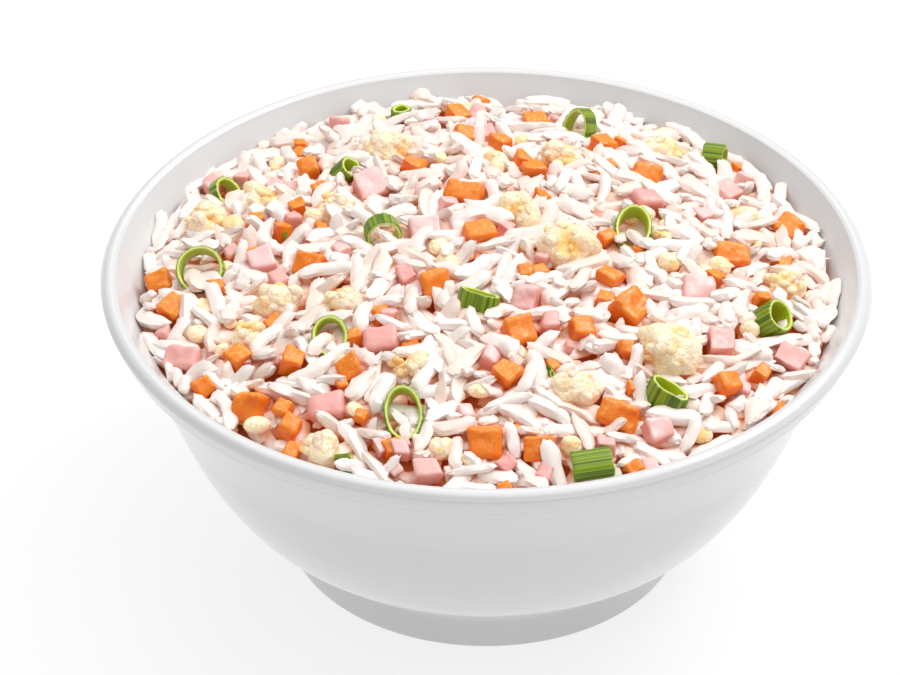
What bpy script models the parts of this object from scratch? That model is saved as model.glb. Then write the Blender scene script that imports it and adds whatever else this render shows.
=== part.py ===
"""A white porcelain bowl heaped with fried rice.

The bowl is a turned solid with a foot ring, a rolled lip and a hollow under its foot. The heap is
one solid that fills the bowl and rises above its rim, with a bump of true size for each grain that
shows. Lumps of egg, slices of spring onion and dice of carrot and ham lie in pockets in the heap,
each as a solid of its own, and smaller dice are fused to the heap.

Lengths in this file are millimetres unless a name says otherwise, and objects are built in metres.
The origin is the middle of the foot's underside, with +Z up. The view in the picture looks along +Y.
"""
import math
import random
from collections import namedtuple

import bmesh
import bpy
import numpy as np
from mathutils import Euler, Matrix, Vector, noise
from mathutils.geometry import delaunay_2d_cdt

METRES = 0.001
SEED = 20

# The bowl's outside
RIM_RADIUS = 100.0
BOWL_HEIGHT = 84.9
LIP_ROUNDING = 2.4
LIP_DEGREES = 150
BAND_RADIUS = 98.1
BAND_BOTTOM = 77.9
FOOT_RADIUS = 53.8
FOOT_HEIGHT = 10.3
FOOT_EDGE = 0.9
BODY_TOP = (96.0, 77.2)
BODY_BEND = (87.2, 58.6)
BODY_MIDDLE = (79.9, 40.0)
BODY_BELLY = (70.0, 23.7)
BODY_BOTTOM = (54.3, FOOT_HEIGHT)

# The bowl's underside and inside
FOOT_RING_WIDTH = 6.0
RECESS_HEIGHT = 6.5
RECESS_ROUNDING = 2.0
WALL_AT_RICE = (91.2, 78.0)
WALL_MIDDLE = (82.8, 59.0)
WALL_LOWER = (73.6, 39.5)
WALL_BELLY = (62.0, 24.0)
WALL_BEND = (46.0, 15.6)
FLOOR_EDGE = (26.0, 12.8)
FLOOR_HEIGHT = 12.5
BOWL_SIDES = 48
SHARP_EDGE_DEGREES = 40

# The heap of rice. It stands off the bowl by a little more than the gap, as both have flat facets.
GAP = 0.3
GAP_AT_WALL = 0.33
GAP_AT_EDGE = 0.36
EDGE_HEIGHT = 77.0
HEAP_RISE = 14.0
HEAP_SWELL = 1.1
HEAP_SWELL_WIDTH = 26.0
BED_UNEVENNESS = 0.6
FLAT_ENOUGH_DEGREES = 5.0

# A grain of cooked long rice
GRAIN_LENGTHS = (6.2, 9.3)
GRAIN_WIDTH = 3.1
GRAIN_HEIGHT = 2.5
GRAIN_SINK = 0.6
GRAIN_LEAN = 1.3
GRAIN_LIFT = (-0.9, 1.3)
GRAIN_CLEARANCE = 0.3
GRAIN_AXIS_SHARE = 0.8
GRAIN_TRIES = 20000
EDGE_CLEARANCE = 2.8
TOPPING_CLEARANCE = 0.6

# Toppings, placed from the middle of the bowl. Tilt and turn are degrees: a piece tilts towards the
# front first, and then turns about the upright.
Onion = namedtuple("Onion", "across back radius squash length tilt turn")
Lump = namedtuple("Lump", "across back width depth height turn")
Dice = namedtuple("Dice", "across back width depth height tilt turn")

# A slice's squash is its depth as a share of its width. The rises are shares of length and radius.
ONION_WALL = 1.1
ONION_SIDES = 10
ONION_RISE_UPRIGHT = 0.25
ONION_RISE_LYING = 0.45
ONION_SLICES = [
    Onion(-24, 75, 2.8, 0.75, 6.6, 20, 20),
    Onion(-38, 38, 3.7, 0.90, 5.5, 50, 70),
    Onion(-70, 35, 3.9, 1.25, 4.2, 60, 50),
    Onion(-27, 3, 4.7, 1.00, 4.6, 88, 12),
    Onion(-74, -4, 6.3, 1.05, 4.6, 34, 8),
    Onion(-39, -39, 4.7, 1.20, 4.0, 26, 5),
    Onion(-20, -67, 4.9, 1.50, 4.8, 22, 5),
    Onion(-2, -27, 5.4, 0.62, 4.6, 32, 154),
    Onion(25, 65, 4.4, 1.45, 4.6, 76, 320),
    Onion(62, 56, 3.5, 1.40, 5.8, 78, 70),
    Onion(38, 7, 4.9, 1.42, 5.2, 26, 355),
    Onion(73, -23, 5.2, 0.86, 6.0, 32, 70),
    Onion(44.5, -58, 5.6, 0.64, 6.0, 22, 140),
    Onion(26, -81, 4.0, 0.72, 9.6, 80, 98),
]

EGG_UNEVENNESS = 0.34
EGG_CRAG_DETAIL = 1.9
EGG_RISE = 0.2
EGG_SIDES = 8
EGG_RINGS = 5
EGG_LUMPS = [
    Lump(-27, 50, 11.5, 12.0, 10.0, 20),
    Lump(-75, 21, 12.5, 12.0, 8.5, 150),
    Lump(-60, 27, 9.0, 8.0, 7.5, 60),
    Lump(-40, 18, 10.5, 9.5, 8.0, 110),
    Lump(-53, -21, 13.5, 9.5, 8.0, 5),
    Lump(-37, -26, 10.5, 8.0, 7.5, 160),
    Lump(-60, -34, 9.0, 8.5, 7.5, 40),
    Lump(-19, -51, 9.0, 7.5, 7.0, 10),
    Lump(20, 43, 9.5, 10.5, 8.0, 90),
    Lump(8, 12, 13.0, 9.5, 9.0, 140),
    Lump(21, -3, 16.5, 15.0, 11.5, 30),
    Lump(48, 57, 14.0, 8.5, 8.0, 170),
    Lump(46, -42.5, 17.5, 15.5, 12.5, 60),
    Lump(22, -58, 13.0, 8.5, 8.0, 155),
    Lump(77, -7, 10.0, 8.5, 7.5, 20),
    Lump(-40, -76, 9.5, 9.0, 7.5, 0),
]

DICE_UNEVENNESS = (0.80, 1.06)
DICE_RISE = 0.12
CARROT_DICE = [
    Dice(-85, -3, 7.2, 7.0, 6.8, 34, 4),
    Dice(-80, -17, 8.0, 7.2, 7.0, 22, 50),
    Dice(-45, -8, 9.2, 6.8, 6.8, 40, 332),
    Dice(-6, 22, 10.6, 6.8, 7.0, 38, 342),
    Dice(-2, 2, 8.4, 7.8, 7.4, 15, 12),
    Dice(-13, -20, 8.0, 8.4, 7.0, 46, 15),
    Dice(-58, -59, 8.6, 8.2, 7.4, 46, 338),
    Dice(0, -75, 8.8, 8.6, 7.6, 38, 2),
    Dice(13, -77, 7.4, 7.0, 7.0, 38, 358),
    Dice(33, -65, 10.2, 7.4, 7.2, 34, 340),
    Dice(8, -38, 8.0, 7.6, 7.0, 26, 20),
    Dice(36, -26, 9.4, 9.0, 8.2, 24, 52),
    Dice(80.5, 23, 8.4, 7.4, 7.0, 34, 325),
    Dice(63, 2, 10.2, 6.8, 6.8, 28, 8),
    Dice(13, 70, 7.2, 6.8, 6.6, 16, 15),
    Dice(43, 38, 8.4, 6.4, 6.6, 40, 348),
]

HAM_DICE = [
    Dice(-31, 28, 8.8, 9.4, 7.4, 30, 20),
    Dice(-16, 4.5, 8.4, 6.8, 6.6, 24, 8),
    Dice(-58, -3, 7.2, 6.8, 6.6, 22, 14),
    Dice(-26, -41, 9.4, 7.2, 6.6, 22, 3),
    Dice(-76, -38, 9.4, 7.0, 6.4, 18, 340),
    Dice(-39, -62, 9.0, 7.2, 6.8, 10, 3),
    Dice(42, 23, 7.6, 7.2, 7.0, 18, 20),
    Dice(10, -25, 6.6, 7.8, 6.8, 42, 345),
    Dice(54, -15, 8.8, 7.8, 7.0, 28, 10),
    Dice(59, -35, 7.2, 7.6, 7.0, 16, 6),
    Dice(77, -35.5, 8.4, 6.6, 6.4, 22, 335),
    Dice(64, 36, 7.4, 6.8, 6.4, 16, 45),
]

# Smaller dice fused to the heap, as (across, back, size, turn)
SMALL_DICE_SHAPE = (1.0, 0.94, 0.90)
SMALL_DICE_TILTS = (6, 36)
SMALL_DICE = [
    (-48, 43, 6.0, 10),
    (-20, 36, 6.6, 70),
    (-8, 73, 6.2, 40),
    (-6, 56, 6.6, 15),
    (3, 52, 6.4, 60),
    (12, 35, 6.6, 20),
    (31, 55, 6.2, 35),
    (31, -15, 6.0, 55),
    (24, -37, 6.2, 10),
    (60, -50, 6.8, 30),
    (-48, -46, 6.6, 80),
    (-62, -42, 6.2, 45),
    (-34, -51, 6.8, 20),
    (-48, -68, 6.6, 65),
    (-70, -50, 5.8, 35),
    (-14, -84, 6.4, 10),
    (6, -54, 7.4, 14),
    (42, -69, 6.6, 25),
]

# Plain shading, as (red, green, blue, roughness)
PORCELAIN = (0.86, 0.86, 0.87, 0.18)
RICE = (0.84, 0.78, 0.72, 0.45)
SPRING_ONION = (0.22, 0.42, 0.06, 0.40)
EGG = (0.86, 0.68, 0.34, 0.60)
CARROT = (0.80, 0.24, 0.02, 0.35)
HAM = (0.80, 0.46, 0.42, 0.50)


def clear_scene():
    """Removes the objects that a new scene starts with."""
    for thing in list(bpy.data.objects):
        bpy.data.objects.remove(thing)


def material(name, shading):
    """A plain shaded material."""
    *colour, roughness = shading
    made = bpy.data.materials.new(name)
    made.use_nodes = True
    shader = made.node_tree.nodes["Principled BSDF"]
    shader.inputs["Base Color"].default_value = (*colour, 1.0)
    shader.inputs["Roughness"].default_value = roughness
    shader.inputs["Metallic"].default_value = 0.0
    return made


def add_object(name, mesh, look):
    """Links a mesh to the scene as an object with its material."""
    mesh.name = name
    mesh.materials.append(look)
    thing = bpy.data.objects.new(name, mesh)
    bpy.context.scene.collection.objects.link(thing)
    return thing


def mesh_from(points, faces):
    """A mesh in metres from points in millimetres, with its faces turned outwards."""
    shape = bmesh.new()
    corners = [shape.verts.new(Vector(point) * METRES) for point in points]
    for face in faces:
        shape.faces.new([corners[index] for index in face])
    bmesh.ops.recalc_face_normals(shape, faces=shape.faces)
    mesh = bpy.data.meshes.new("shape")
    shape.to_mesh(mesh)
    shape.free()
    return mesh


def smooth_curve(knots, steps):
    """Points on a Catmull-Rom curve through the knots, with so many steps between two knots."""
    first = tuple(2 * a - b for a, b in zip(knots[0], knots[1]))
    last = tuple(2 * a - b for a, b in zip(knots[-1], knots[-2]))
    line = [first, *knots, last]
    points = []
    for before, start, end, after in zip(line, line[1:], line[2:], line[3:]):
        for step in range(steps):
            t = step / steps
            points.append(tuple(
                0.5 * (2 * p + (q - o) * t + (2 * o - 5 * p + 4 * q - r) * t ** 2
                       + (3 * p - o - 3 * q + r) * t ** 3)
                for o, p, q, r in zip(before, start, end, after)))
    points.append(knots[-1])
    return points


def arc(centre, radius, start_degrees, end_degrees, steps):
    """Points on a round corner of the profile."""
    angles = [math.radians(start_degrees + (end_degrees - start_degrees) * step / steps)
              for step in range(steps + 1)]
    return [(centre[0] + radius * math.cos(angle), centre[1] + radius * math.sin(angle))
            for angle in angles]


def inside_profile():
    """The bowl's inner wall, from the middle of its floor up to the lip."""
    wall = smooth_curve([WALL_BELLY, WALL_LOWER, WALL_MIDDLE, WALL_AT_RICE], 2)
    return [(0.0, FLOOR_HEIGHT), FLOOR_EDGE, WALL_BEND, *wall]


def outside_profile():
    """The bowl's outer side, from the foot's outer edge up to the lip's outermost line."""
    foot = arc((FOOT_RADIUS - FOOT_EDGE, FOOT_EDGE), FOOT_EDGE, -90, 0, 2)
    body = smooth_curve([BODY_BOTTOM, BODY_BELLY, BODY_MIDDLE, BODY_BEND, BODY_TOP], 2)
    return [*foot, *body, (BAND_RADIUS, BAND_BOTTOM)]


def underside_profile():
    """The hollow under the foot, from the middle out to the ring that it stands on."""
    ring_inside = FOOT_RADIUS - FOOT_RING_WIDTH
    corner = (ring_inside - RECESS_ROUNDING, RECESS_HEIGHT - RECESS_ROUNDING)
    hollow = arc(corner, RECESS_ROUNDING, 90, 0, 2)
    return [(0.0, RECESS_HEIGHT), *hollow, (ring_inside, FOOT_EDGE), (ring_inside + FOOT_EDGE, 0.0)]


def turned(profile, sides):
    """Points and faces of a solid turned about Z. The profile starts and ends on the axis."""
    points = [(0.0, 0.0, profile[0][1])]
    for radius, height in profile[1:-1]:
        for side in range(sides):
            angle = 2 * math.pi * side / sides
            points.append((radius * math.cos(angle), radius * math.sin(angle), height))
    points.append((0.0, 0.0, profile[-1][1]))
    faces = []
    rings = len(profile) - 2
    for side in range(sides):
        following = (side + 1) % sides
        faces.append((0, 1 + side, 1 + following))
        for ring in range(rings - 1):
            low = 1 + ring * sides
            high = low + sides
            faces.append((low + side, high + side, high + following, low + following))
        top = 1 + (rings - 1) * sides
        faces.append((top + side, len(points) - 1, top + following))
    return points, faces


def make_bowl():
    """The porcelain bowl, turned from one profile."""
    lip_centre = (RIM_RADIUS - LIP_ROUNDING, BOWL_HEIGHT - LIP_ROUNDING)
    lip = arc(lip_centre, LIP_ROUNDING, 0, LIP_DEGREES, 5)
    profile = [*underside_profile(), *outside_profile(), *lip, *reversed(inside_profile())]
    points, faces = turned(profile, BOWL_SIDES)
    bowl = add_object("bowl", mesh_from(points, faces), material("porcelain", PORCELAIN))
    bowl.data.shade_smooth()
    bowl.data.set_sharp_from_angle(angle=math.radians(SHARP_EDGE_DEGREES))


def swell(across, back):
    """The heap's own unevenness at a spot, wider than a grain."""
    spot = Vector((across, back, SEED)) / HEAP_SWELL_WIDTH
    return HEAP_SWELL * noise.noise(spot)


def heap_height(across, back):
    """The height of the heap's smooth surface."""
    outward = math.hypot(across, back) / WALL_AT_RICE[0]
    return EDGE_HEIGHT + HEAP_RISE * (1 - outward ** 2) + swell(across, back) * (1 - outward ** 4)


def heap_tilt(across, back):
    """The turn that lays an upright piece on the heap's slope."""
    slope = 2 * HEAP_RISE / WALL_AT_RICE[0] ** 2
    return Vector((0, 0, 1)).rotation_difference(Vector((slope * across, slope * back, 1))).to_matrix()


def clear_profile():
    """The heap's side and underside: the bowl's inside, moved inwards by the gap."""
    wall = inside_profile()
    moved = [(0.0, FLOOR_HEIGHT + GAP)]
    for before, here, after in zip(wall, wall[1:], wall[2:]):
        along = Vector((after[0] - before[0], after[1] - before[1])).normalized()
        moved.append((here[0] - along.y * GAP_AT_WALL, here[1] + along.x * GAP_AT_WALL))
    top_slope = (wall[-1][0] - wall[-2][0]) / (wall[-1][1] - wall[-2][1])
    edge_radius = wall[-1][0] - (wall[-1][1] - EDGE_HEIGHT) * top_slope - GAP_AT_EDGE
    moved.append((edge_radius, EDGE_HEIGHT))
    return moved


def footprints():
    """Circles on the heap, (across, back, radius), that the toppings cover."""
    circles = [(slice_.across, slice_.back, max(slice_.radius, slice_.length / 2))
               for slice_ in ONION_SLICES]
    circles += [(piece.across, piece.back, (piece.width + piece.depth) / 4)
                for piece in EGG_LUMPS + CARROT_DICE + HAM_DICE]
    circles += [(across, back, size / 2) for across, back, size, turn in SMALL_DICE]
    return [(across, back, radius + TOPPING_CLEARANCE) for across, back, radius in circles]


def grain_axis(across, back, length, turn):
    """Five points along a grain, seen from above."""
    along = np.array((math.cos(turn), math.sin(turn))) * length * GRAIN_AXIS_SHARE
    steps = np.array((-0.5, -0.25, 0.0, 0.25, 0.5))[:, None]
    return np.array((across, back)) + steps * along


def scatter_grains(rng, edge_radius):
    """Where grains lie on the heap, none over another or over a topping."""
    covered = np.array(footprints())
    taken = np.empty((0, 2))
    grains = []
    for attempt in range(GRAIN_TRIES):
        reach = (edge_radius - EDGE_CLEARANCE) * math.sqrt(rng.random())
        around = rng.uniform(0, 2 * math.pi)
        across = reach * math.cos(around)
        back = reach * math.sin(around)
        length = rng.uniform(*GRAIN_LENGTHS)
        turn = rng.uniform(0, math.pi)
        axis = grain_axis(across, back, length, turn)
        if np.hypot(*axis.T).max() > edge_radius - EDGE_CLEARANCE:
            continue
        to_toppings = np.linalg.norm(axis[:, None] - covered[None, :, :2], axis=2) - covered[None, :, 2]
        if to_toppings.min() < GRAIN_WIDTH / 2:
            continue
        if len(taken):
            to_grains = np.linalg.norm(axis[:, None] - taken[None], axis=2)
            if to_grains.min() < GRAIN_WIDTH + GRAIN_CLEARANCE:
                continue
        taken = np.vstack((taken, axis))
        grains.append((across, back, length, turn))
    return grains


def grain_bump(rng, across, back, length, turn):
    """A grain's points on the heap: six round its foot, then the two ends of its ridge."""
    along = Vector((math.cos(turn), math.sin(turn)))
    aside = Vector((-along.y, along.x))
    half = GRAIN_WIDTH / 2
    outline = [(-length / 2, 0), (-length / 4, -half), (length / 4, -half),
               (length / 2, 0), (length / 4, half), (-length / 4, half)]
    ridge = [(-length / 4, 0), (length / 4, 0)]
    lean = rng.uniform(-GRAIN_LEAN, GRAIN_LEAN)
    lift = rng.uniform(*GRAIN_LIFT) - GRAIN_SINK
    points = []
    for forward, sideways in outline + ridge:
        spot = Vector((across, back)) + along * forward + aside * sideways
        raised = GRAIN_HEIGHT if (forward, sideways) in ridge else 0.0
        height = heap_height(*spot) + raised + lift + lean * forward / length
        points.append((spot.x, spot.y, height))
    return points


def bed_points(rng, edge_radius):
    """Points of the bare bed under each topping, so that the heap is level there."""
    points = []
    for across, back, radius in footprints():
        if math.hypot(across, back) + radius <= edge_radius:
            height = heap_height(across, back) - rng.uniform(0.0, BED_UNEVENNESS)
            points.append((across, back, height))
    return points


def heap_top(rng, edge_points):
    """The heap's upper surface as points and triangles. The first points are its edge's."""
    points = list(edge_points)
    sides = len(edge_points)
    lines = [(index, (index + 1) % sides) for index in range(sides)]
    edge_radius = math.hypot(*edge_points[0][:2])
    for grain in scatter_grains(rng, edge_radius):
        foot = len(points)
        ridge = foot + 6
        points += grain_bump(rng, *grain)
        lines += [(foot + corner, foot + (corner + 1) % 6) for corner in range(6)]
        lines.append((ridge, ridge + 1))
    points += bed_points(rng, edge_radius)
    flat = [Vector(point[:2]) for point in points]
    corners, _, triangles, origins, _, _ = delaunay_2d_cdt(flat, lines, [], 0, 1e-6)
    source_of = [sources[0] for sources in origins]
    return points, [tuple(source_of[corner] for corner in triangle) for triangle in triangles]


def heap_mesh(rng):
    """The heap: grain bumps above, the bowl's inside below, and a plain edge at the wall."""
    points, faces = turned([*clear_profile(), (0.0, EDGE_HEIGHT)], BOWL_SIDES)
    top_middle = len(points) - 1
    points.pop()
    faces = [face for face in faces if top_middle not in face]
    edge_start = len(points) - BOWL_SIDES
    top_points, triangles = heap_top(rng, points[edge_start:])
    points += top_points[BOWL_SIDES:]
    faces += [tuple(edge_start + corner for corner in triangle) for triangle in triangles]
    return mesh_from(points, faces)


def boolean(target, tools, operation, solver):
    """Applies one Boolean of a whole collection to an object, then removes the collection's objects."""
    step = target.modifiers.new(operation.lower(), "BOOLEAN")
    step.operation = operation
    step.operand_type = "COLLECTION"
    step.collection = tools
    step.solver = solver
    bpy.context.view_layer.update()
    evaluated = target.evaluated_get(bpy.context.evaluated_depsgraph_get())
    result = bpy.data.meshes.new_from_object(evaluated)
    target.modifiers.remove(step)
    target.data = result
    for tool in list(tools.objects):
        bpy.data.objects.remove(tool)
    bpy.data.collections.remove(tools)


def tool_collection(name, meshes):
    """A collection of Boolean tools, kept out of the picture."""
    group = bpy.data.collections.new(name)
    bpy.context.scene.collection.children.link(group)
    for number, mesh in enumerate(meshes):
        tool = bpy.data.objects.new(f"{name}_{number}", mesh)
        tool.hide_render = True
        tool.display_type = "WIRE"
        group.objects.link(tool)
    return group


def placed(points, across, back, rise, turns):
    """Moves a piece's points to their place on the heap. The rise is its middle's, off the heap."""
    where = Vector((across, back, heap_height(across, back) + rise))
    lay = heap_tilt(across, back) @ turns
    return [where + lay @ Vector(point) for point in points]


def tilted(tilt, turn):
    """The turn that tilts a piece towards the front and then turns it about the upright."""
    return Euler((math.radians(tilt), 0, math.radians(turn)), "XYZ").to_matrix()


def dice_mesh(rng, dice, rise, grow=0.0):
    """A die cut by hand: a box with uneven corners."""
    corners = []
    for x in (-0.5, 0.5):
        for y in (-0.5, 0.5):
            for z in (-0.5, 0.5):
                uneven = [rng.uniform(*DICE_UNEVENNESS) for axis in range(3)]
                corners.append((x * (dice.width * uneven[0] + 2 * grow),
                                y * (dice.depth * uneven[1] + 2 * grow),
                                z * (dice.height * uneven[2] + 2 * grow)))
    points = placed(corners, dice.across, dice.back, rise, tilted(dice.tilt, dice.turn))
    shape = bmesh.new()
    for point in points:
        shape.verts.new(point * METRES)
    bmesh.ops.convex_hull(shape, input=shape.verts)
    bmesh.ops.recalc_face_normals(shape, faces=shape.faces)
    mesh = bpy.data.meshes.new("dice")
    shape.to_mesh(mesh)
    shape.free()
    return mesh


def lump_mesh(lump, rise, grow=0.0):
    """A curd of egg: a round lump with crags."""
    ball = bmesh.new()
    bmesh.ops.create_uvsphere(ball, u_segments=EGG_SIDES, v_segments=EGG_RINGS, radius=1.0)
    bmesh.ops.triangulate(ball, faces=ball.faces)
    points = []
    for vert in ball.verts:
        crag = noise.noise(vert.co * EGG_CRAG_DETAIL + Vector((lump.across, lump.back, 0)))
        spot = vert.co * (1 + EGG_UNEVENNESS * crag)
        stretched = Vector((spot.x * lump.width / 2, spot.y * lump.depth / 2, spot.z * lump.height / 2))
        points.append(stretched * (1 + grow / stretched.length))
    faces = [tuple(vert.index for vert in face.verts) for face in ball.faces]
    ball.free()
    turns = Matrix.Rotation(math.radians(lump.turn), 3, "Z")
    return mesh_from(placed(points, lump.across, lump.back, rise, turns), faces)


def onion_mesh(slice_, rise, grow=0.0):
    """A slice of spring onion: a short tube, squashed a little."""
    outer = slice_.radius + grow
    inner = slice_.radius - ONION_WALL - grow
    half = slice_.length / 2 + grow
    section = [(outer, -half), (outer, half), (inner, half), (inner, -half)]
    points = []
    for side in range(ONION_SIDES):
        angle = 2 * math.pi * side / ONION_SIDES
        for radius, height in section:
            depth = radius - (1 - slice_.squash) * slice_.radius
            points.append((radius * math.cos(angle), depth * math.sin(angle), height))
    faces = []
    for side in range(ONION_SIDES):
        here = 4 * side
        following = 4 * ((side + 1) % ONION_SIDES)
        for corner in range(4):
            beyond = (corner + 1) % 4
            faces.append((here + corner, following + corner, following + beyond, here + beyond))
    turns = tilted(slice_.tilt, slice_.turn)
    return mesh_from(placed(points, slice_.across, slice_.back, rise, turns), faces)


def small_dice_meshes(rng):
    """The smaller dice, which the heap holds fast."""
    meshes = []
    for across, back, size, turn in SMALL_DICE:
        sides = [size * share for share in SMALL_DICE_SHAPE]
        dice = Dice(across, back, *sides, rng.uniform(*SMALL_DICE_TILTS), turn)
        meshes.append(dice_mesh(rng, dice, DICE_RISE * size))
    return meshes


def onion_rise(slice_):
    """How far a slice's middle stands off the heap: a slice on its side lies lower in it."""
    lying = math.sin(math.radians(slice_.tilt))
    upright = ONION_RISE_UPRIGHT * slice_.length
    return upright * (1 - lying) + ONION_RISE_LYING * slice_.radius * lying


def make_heap(pockets):
    """The heap with its small dice fused on and a pocket for each topping."""
    rng = random.Random(SEED)
    heap = add_object("rice", heap_mesh(rng), material("rice", RICE))
    boolean(heap, tool_collection("small_dice", small_dice_meshes(rng)), "UNION", "EXACT")
    boolean(heap, tool_collection("pockets", pockets), "DIFFERENCE", "EXACT")
    keep_largest_body(heap.data)


def keep_largest_body(mesh):
    """Drops the loose scraps that the cuts leave, and joins faces that are as good as flat."""
    shape = bmesh.new()
    shape.from_mesh(mesh)
    bodies = []
    unseen = set(shape.verts)
    while unseen:
        body = set()
        front = [unseen.pop()]
        while front:
            vert = front.pop()
            body.add(vert)
            neighbours = {edge.other_vert(vert) for edge in vert.link_edges} & unseen
            unseen -= neighbours
            front += neighbours
        bodies.append(body)
    bodies.sort(key=len)
    for scrap in bodies[:-1]:
        bmesh.ops.delete(shape, geom=list(scrap), context="VERTS")
    bmesh.ops.dissolve_limit(shape, angle_limit=math.radians(FLAT_ENOUGH_DEGREES), verts=shape.verts,
                             edges=shape.edges)
    bmesh.ops.triangulate(shape, faces=shape.faces)
    shape.to_mesh(mesh)
    shape.free()


def make_toppings():
    """Every topping as its own object. Returns the pockets that they need in the heap."""
    pockets = []
    green = material("spring_onion", SPRING_ONION)
    yellow = material("egg", EGG)
    orange = material("carrot", CARROT)
    pink = material("ham", HAM)
    for number, slice_ in enumerate(ONION_SLICES, 1):
        rise = onion_rise(slice_)
        add_object(f"onion_{number:02d}", onion_mesh(slice_, rise), green)
        pockets.append(onion_mesh(slice_, rise, GAP))
    for number, lump in enumerate(EGG_LUMPS, 1):
        rise = EGG_RISE * lump.height
        add_object(f"egg_{number:02d}", lump_mesh(lump, rise), yellow)
        pockets.append(lump_mesh(lump, rise, GAP))
    for kind, look, all_dice in (("carrot", orange, CARROT_DICE), ("ham", pink, HAM_DICE)):
        for number, dice in enumerate(all_dice, 1):
            rise = DICE_RISE * dice.height
            cut_seed = f"{kind}{number}"
            add_object(f"{kind}_{number:02d}", dice_mesh(random.Random(cut_seed), dice, rise), look)
            pockets.append(dice_mesh(random.Random(cut_seed), dice, rise, GAP))
    return pockets


def main():
    clear_scene()
    make_bowl()
    make_heap(make_toppings())


main()
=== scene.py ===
import math
import random
from collections import namedtuple

import bmesh
import bpy
import numpy as np
from mathutils import Euler, Matrix, Vector, noise
from mathutils.bvhtree import BVHTree


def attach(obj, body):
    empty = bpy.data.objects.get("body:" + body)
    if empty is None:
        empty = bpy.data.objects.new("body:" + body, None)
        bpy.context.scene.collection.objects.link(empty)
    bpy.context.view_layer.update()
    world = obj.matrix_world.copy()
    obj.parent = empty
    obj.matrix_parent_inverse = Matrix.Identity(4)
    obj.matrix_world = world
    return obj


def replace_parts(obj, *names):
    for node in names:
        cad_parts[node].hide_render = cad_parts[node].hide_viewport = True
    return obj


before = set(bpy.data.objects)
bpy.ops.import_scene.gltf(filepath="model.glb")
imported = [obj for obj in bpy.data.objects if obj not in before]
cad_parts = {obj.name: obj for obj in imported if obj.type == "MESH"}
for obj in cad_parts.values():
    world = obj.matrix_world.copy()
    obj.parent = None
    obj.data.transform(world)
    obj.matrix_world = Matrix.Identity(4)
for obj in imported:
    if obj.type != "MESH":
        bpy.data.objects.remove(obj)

METRES = 0.001
SEED = 7

# The heap's smooth surface, as the CAD part has it
HEAP_RADIUS = 91.2
EDGE_HEIGHT = 77.0
HEAP_RISE = 14.0
HEAP_SWELL = 1.1
HEAP_SWELL_WIDTH = 26.0
HEAP_SWELL_SEED = 20

# The bowl
BOWL_SIDES = 192
PROFILE_STEPS = 5
CORNER_DEGREES = 40.0

# Reading shapes: how near counts as touching, and the cosines of normals that are alike or crosswise
WELD_METRES = 1e-6
NEAR = 0.01
NEAR_END = 0.05
ALIKE = 0.9995
CROSSWISE = 0.4
ABOVE_ALL = 150.0

# The core under the grains. Its wall keeps clear of the bowl's inner one.
CORE_DEPTH = 5.0
CORE_RELIEF = 0.8
CORE_RELIEF_WIDTH = 2.2
CORE_RINGS = 70
CORE_SIDES = 200
CORE_GAP = 0.5
CORE_STEP_AT_EDGE = 1.0

# Grains of rice: their skin
GRAIN_TEMPLATES = 30
GRAIN_SIDES = 8
GRAIN_STATIONS = (-1.0, -0.93, -0.72, -0.38, 0.0, 0.38, 0.72, 0.93, 1.0)
GRAIN_LENGTHS = (9.0, 13.6)
GRAIN_WIDTHS = (3.5, 5.2)
GRAIN_FLATNESS = (0.50, 0.74)
GRAIN_BEND = 0.14
GRAIN_FULLNESS = (3.6, 8.5)
GRAIN_LOPSIDEDNESS = 0.2
GRAIN_SLANT = 0.8
GRAIN_GROOVE = 0.16
GRAIN_SQUARENESS = 0.8
GRAIN_RAGGEDNESS = 0.34
END_RAGGEDNESS = 0.12
END_SLANT = 0.35
BLUNT_END = 0.18
END_CAP = 0.008
GRAIN_EDGE_DEGREES = 42.0
BROKEN_SHARE = 0.08
BROKEN_LENGTHS = (4.4, 7.0)
BROKEN_SLIMNESS = 0.85
Grain = namedtuple("Grain", "across back middle turn slope length width height roll")

# Grains of rice: how they lie
GRAIN_ROLL = 0.5
BED_GRAINS = 1000
BED_DEPTH = 1.3
BED_UNEVENNESS = 0.9
BED_SLOPE = 0.2
BED_MARGIN = 1.5
BED_END_MARGIN = 0.5
GRAIN_LIMIT = 1350
DROP_REACH = HEAP_RADIUS + 0.3
END_REACH = HEAP_RADIUS + 1.2
LOW_SPOTS = 30
TURNS_TRIED = 5
REST_SHARES = np.array((-0.44, -0.3, -0.15, 0.0, 0.15, 0.3, 0.44))
REST_ASIDE = np.array((-0.3, 0.0, 0.3))
STEEPEST = 1.1
SINK = 1.3
ROOM_FOR_GRAIN = 0.8
ROOM_ABOVE = 1.3
LOWERED_WHERE_FULL = 0.5
PATIENCE = 40
CLEAR_OF_TOPPINGS = 0.45
LYING_OVER_TOPPING = 0.1
LEANING_SHARE = 0.26
LEANING_SLOPES = (0.4, 1.2)
GRAIN_MIDDLE_ABOVE_HEAP = 2.2
GOAL_UNEVENNESS = 1.1
GOAL_WAVE = 9.0
GOAL_SEED = 50.0
WALL_STARTS = 80.0
WALL_ENDS = 91.0
LOWER_AT_WALL = 0.9
UNEVEN_AT_WALL = 2.4
WAVE_AT_WALL = 13.0
WALL_BITE = 0.7

# Squares along an edge of a die, of a smaller one and of a scrap
DIE_CUTS = 15
BIT_CUTS = 10
SCRAP_CUTS = 7

# Dice: how round their edges are, and their unevenness as (wave length, height)
DIE_ROUNDINGS = (0.2, 0.42)
CARROT_LAYERS = [(4.6, 0.75), (1.3, 0.18)]
HAM_LAYERS = [(5.0, 0.8), (1.6, 0.14)]
NOISE_STRIDE = 31.7

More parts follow.
